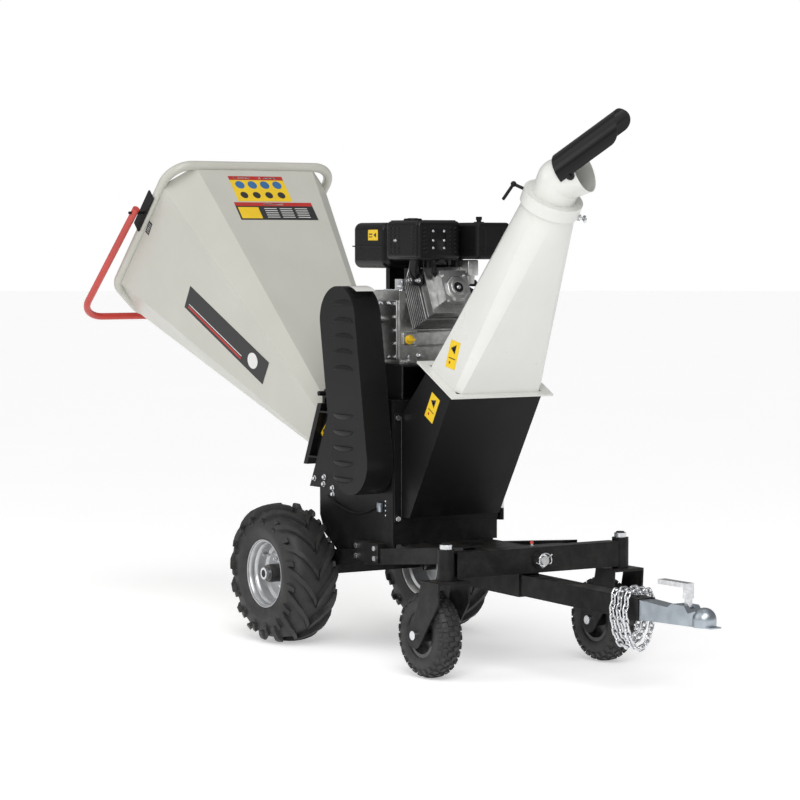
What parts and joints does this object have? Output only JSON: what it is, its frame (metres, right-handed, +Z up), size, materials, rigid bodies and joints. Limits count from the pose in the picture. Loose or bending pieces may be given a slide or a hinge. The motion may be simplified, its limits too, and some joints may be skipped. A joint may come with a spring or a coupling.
{
  "type": "towed wood chipper",
  "caption": "Wheeled engine-driven wood chipper: folding feed hopper, belt-driven knife drum, hinged discharge door, turning chute with deflector, swivel casters and ball-hitch drawbar.",
  "frame": {"origin": "on the ground under the middle of the machine's bounding box", "axes": "+X forward along the drawbar to the ball coupler, +Y to the machine's left, +Z up"},
  "size_m": [3.1945, 0.817, 1.7065],
  "materials": {
    "black_powder": "satin black powder coat",
    "grey_powder": "semi-gloss warm grey powder coat",
    "red_powder": "gloss red paint",
    "tyre": "moulded tread",
    "silver_rim": "silver paint",
    "black_rim": "satin black paint",
    "zinc": "bright zinc plate",
    "satin_zinc": "dull blue-grey zinc plate",
    "steel": "machined steel",
    "engine_alloy": "as cast",
    "black_plastic": "moulded",
    "black_enamel": "gloss black enamel",
    "yellow_cap": "moulded",
    "belt": "fabric faced"
  },
  "bodies": {
    "chassis": {"side_rails": "black_powder", "rear_axle": "black_powder", "deck_plate": "black_powder", "crossmember": "black_powder", "frame_brackets": "black_powder", "frame_bolts": "zinc", "drawbar": "black_powder", "drawbar_socket": "black_powder", "coupler_body": "satin_zinc", "safety_chain": "zinc", "beam_pivot_pin": "steel", "housing_plates": "black_powder", "drum_casing": "black_powder", "bed_knife": "steel", "throat_flange": "black_powder", "drum_bearings": "engine_alloy", "engine_stand": "black_powder", "belt_cover": "black_powder", "belt_guard_back": "black_powder", "drive_belts": "belt", "crankcase": "engine_alloy", "cylinder": "engine_alloy", "rocker_cover": "engine_alloy", "fuel_tank": "black_enamel", "engine_caps": "yellow_cap", "engine_pipes": "black_enamel", "muffler": "black_enamel", "air_cleaner": "black_plastic", "recoil_starter": "black_plastic", "hinge_knuckles": "black_powder"},
    "wheel_right": {"tyre_right": "tyre", "rim_right": "silver_rim"},
    "wheel_left": {"tyre_left": "tyre", "rim_left": "silver_rim"},
    "front_beam": {"front_beam": "black_powder"},
    "caster_right": {"fork_right": "black_powder", "caster_fasteners_right": "zinc"},
    "caster_wheel_right": {"caster_tyre_right": "tyre", "caster_rim_right": "black_rim"},
    "caster_left": {"fork_left": "black_powder", "caster_fasteners_left": "zinc"},
    "caster_wheel_left": {"caster_tyre_left": "tyre", "caster_rim_left": "black_rim"},
    "drum": {"drum_rotor": "steel", "drum_knives": "steel", "drum_shaft": "steel"},
    "crank": {"crankshaft": "steel"},
    "discharge_door": {"discharge_duct": "black_powder", "door_fittings": "zinc", "chute_tower": "grey_powder"},
    "spout": {"spout": "grey_powder"},
    "clamp_lever": {"clamp_lever": "black_plastic"},
    "deflector": {"deflector": "black_powder"},
    "hopper": {"hopper_shell": "grey_powder", "hopper_hoop": "grey_powder", "hopper_flange": "black_powder", "bar_brackets": "black_powder"},
    "control_bar": {"control_bar": "red_powder"},
    "coupler_handle": {"coupler_handle": "zinc"},
    "starter_grip": {"starter_grip": "black_plastic"}
  },
  "joints": [
    {"name": "wheel_right_spin", "type": "hinge", "parent": "chassis", "child": "wheel_right", "pos_m": [-0.262, -0.304, 0.229], "axis": [0, 1, 0], "continuous": true},
    {"name": "wheel_left_spin", "type": "hinge", "parent": "chassis", "child": "wheel_left", "pos_m": [-0.262, 0.304, 0.229], "axis": [0, 1, 0], "continuous": true},
    {"name": "front_beam_rock", "type": "hinge", "parent": "chassis", "child": "front_beam", "pos_m": [0.733, 0, 0.348], "axis": [1, 0, 0], "range_deg": [-10, 10]},
    {"name": "caster_right_swivel", "type": "hinge", "parent": "front_beam", "child": "caster_right", "pos_m": [0.733, -0.326, 0.302], "axis": [0, 0, 1], "continuous": true},
    {"name": "caster_wheel_right_spin", "type": "hinge", "parent": "caster_right", "child": "caster_wheel_right", "pos_m": [0.647, -0.326, 0.1325], "axis": [0, 1, 0], "continuous": true},
    {"name": "caster_left_swivel", "type": "hinge", "parent": "front_beam", "child": "caster_left", "pos_m": [0.733, 0.326, 0.302], "axis": [0, 0, 1], "continuous": true},
    {"name": "caster_wheel_left_spin", "type": "hinge", "parent": "caster_left", "child": "caster_wheel_left", "pos_m": [0.647, 0.326, 0.1325], "axis": [0, 1, 0], "continuous": true},
    {"name": "drum_spin", "type": "hinge", "parent": "chassis", "child": "drum", "pos_m": [0.143, 0, 0.619], "axis": [0, 1, 0], "continuous": true},
    {"name": "crank_spin", "type": "hinge", "parent": "chassis", "child": "crank", "pos_m": [0.07, 0, 1.068], "axis": [0, 1, 0], "continuous": true},
    {"name": "discharge_door_swing", "type": "hinge", "parent": "chassis", "child": "discharge_door", "pos_m": [0.243, 0.216, 0.417], "axis": [0, 0, 1], "range_deg": [0, 100]},
    {"name": "spout_turn", "type": "hinge", "parent": "discharge_door", "child": "spout", "pos_m": [0.798, 0, 1.411], "axis": [0.5373, 0, 0.8434], "continuous": true},
    {"name": "clamp_lever_turn", "type": "hinge", "parent": "spout", "child": "clamp_lever", "pos_m": [0.74251, -0.07071, 1.48073], "axis": [-0.6461, -0.6428, 0.4116], "range_deg": [-60, 60]},
    {"name": "deflector_tilt", "type": "hinge", "parent": "spout", "child": "deflector", "pos_m": [0.90966, 0.02372, 1.53365], "axis": [-0.5421, 0.766, 0.3454], "range_deg": [-5, 35]},
    {"name": "hopper_fold", "type": "hinge", "parent": "chassis", "child": "hopper", "pos_m": [-0.246, 0, 0.815], "axis": [0, 1, 0], "range_deg": [0, 35]},
    {"name": "control_bar_swing", "type": "hinge", "parent": "hopper", "child": "control_bar", "pos_m": [-1.152, 0, 1.417], "axis": [0, 1, 0], "range_deg": [0, 15]},
    {"name": "coupler_handle_lift", "type": "hinge", "parent": "chassis", "child": "coupler_handle", "pos_m": [1.478, 0, 0.279], "axis": [0, 1, 0], "range_deg": [0, 45]},
    {"name": "starter_grip_pull", "type": "slide", "parent": "chassis", "child": "starter_grip", "axis": [0, 0, 1], "range_m": [0, 0.12]}
  ],
  "couplings": [
    {"joint": "crank_spin", "follows": "drum_spin", "ratio": 1.4248}
  ]
}
